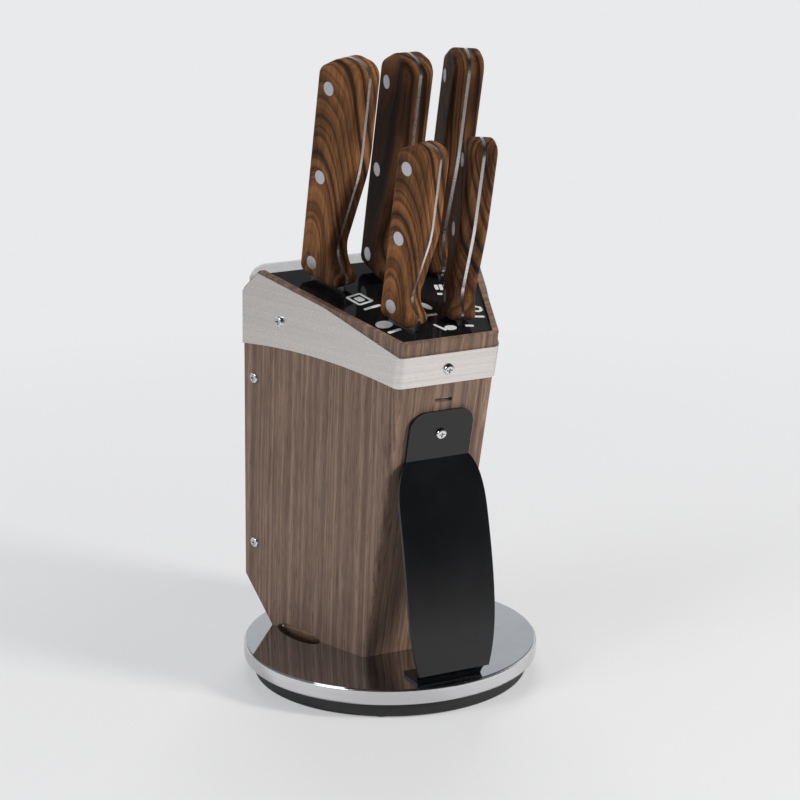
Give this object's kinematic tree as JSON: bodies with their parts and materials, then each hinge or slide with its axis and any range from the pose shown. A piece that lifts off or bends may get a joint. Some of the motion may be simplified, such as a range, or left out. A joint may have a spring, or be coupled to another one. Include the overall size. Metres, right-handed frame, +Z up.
{
  "type": "knife block with knives",
  "caption": "Leaning wedge-shaped wooden knife block on a round turntable, with full-tang knives, a steel band and a bowed front brace.",
  "frame": {"origin": "centre of the base, on the table", "axes": "+Z up along the turntable's axis, -Y towards the front of the block, +X towards the block's right-hand side wall as seen from the front"},
  "size_m": [0.16, 0.1658, 0.3413],
  "materials": {
    "foot_plastic": "matt black moulded",
    "pad_rubber": "matt",
    "race_steel": "zinc plated",
    "ball_steel": "polished",
    "cage_plastic": "natural",
    "fastener_steel": "zinc plated",
    "board": "bare board",
    "rim_steel": "bright satin",
    "mirror_top": "mirror polished",
    "walnut_side": "matt walnut veneer, grain upright",
    "walnut_front": "matt walnut veneer, grain upright",
    "clear_back": "clear acrylic sheet",
    "band_steel": "brushed along its length",
    "screw_chrome": "bright",
    "brace_black": "satin black",
    "insert_gloss": "gloss black",
    "insert_print": "white pad-printed marks",
    "blade_steel": "satin ground",
    "handle_wood": "warm brown, satin oiled",
    "rivet_steel": "polished flush"
  },
  "bodies": {
    "base": {"foot_shell": "foot_plastic", "foot_pads": "pad_rubber", "lower_race": "race_steel", "bearing_balls": "ball_steel", "ball_cage": "cage_plastic", "pivot_bolt": "fastener_steel", "pivot_nut": "fastener_steel"},
    "turntable": {"upper_race": "race_steel", "base_screws": "fastener_steel", "core_board": "board", "floor_tray": "board", "left_batten": "board", "right_batten": "board", "insert_ledges": "board", "disc_pan": "rim_steel", "mirror_plate": "mirror_top", "left_panel": "walnut_side", "right_panel": "walnut_side", "front_panel": "walnut_front", "heel_panel": "walnut_front", "back_pane": "clear_back", "band": "band_steel", "band_screws": "screw_chrome", "back_screws": "screw_chrome", "brace_screw": "screw_chrome", "brace": "brace_black"},
    "insert": {"insert": "insert_gloss"},
    "carver": {"carver_blade": "blade_steel", "carver_left_scale": "handle_wood", "carver_right_scale": "handle_wood", "carver_rivets": "rivet_steel"},
    "chef": {"chef_blade": "blade_steel", "chef_left_scale": "handle_wood", "chef_right_scale": "handle_wood", "chef_rivets": "rivet_steel"},
    "bread": {"bread_blade": "blade_steel", "bread_left_scale": "handle_wood", "bread_right_scale": "handle_wood", "bread_rivets": "rivet_steel"},
    "utility": {"utility_blade": "blade_steel", "utility_left_scale": "handle_wood", "utility_right_scale": "handle_wood", "utility_rivets": "rivet_steel"},
    "paring": {"paring_blade": "blade_steel", "paring_left_scale": "handle_wood", "paring_right_scale": "handle_wood", "paring_rivets": "rivet_steel"}
  },
  "joints": [
    {"name": "turntable_spin", "type": "hinge", "parent": "base", "child": "turntable", "pos_m": [0, 0, 0], "axis": [0, 0, 1], "continuous": true},
    {"name": "insert_lift", "type": "slide", "parent": "turntable", "child": "insert", "axis": [0, -0.2571, 0.9664], "range_m": [0, 0.05]},
    {"name": "carver_draw", "type": "slide", "parent": "insert", "child": "carver", "axis": [0, -0.2487, 0.9686], "range_m": [0, 0.19]},
    {"name": "chef_draw", "type": "slide", "parent": "insert", "child": "chef", "axis": [0, -0.2487, 0.9686], "range_m": [0, 0.19]},
    {"name": "bread_draw", "type": "slide", "parent": "insert", "child": "bread", "axis": [0, -0.2487, 0.9686], "range_m": [0, 0.19]},
    {"name": "utility_draw", "type": "slide", "parent": "insert", "child": "utility", "axis": [0, -0.2487, 0.9686], "range_m": [0, 0.14]},
    {"name": "paring_draw", "type": "slide", "parent": "insert", "child": "paring", "axis": [0, -0.2487, 0.9686], "range_m": [0, 0.11]}
  ]
}
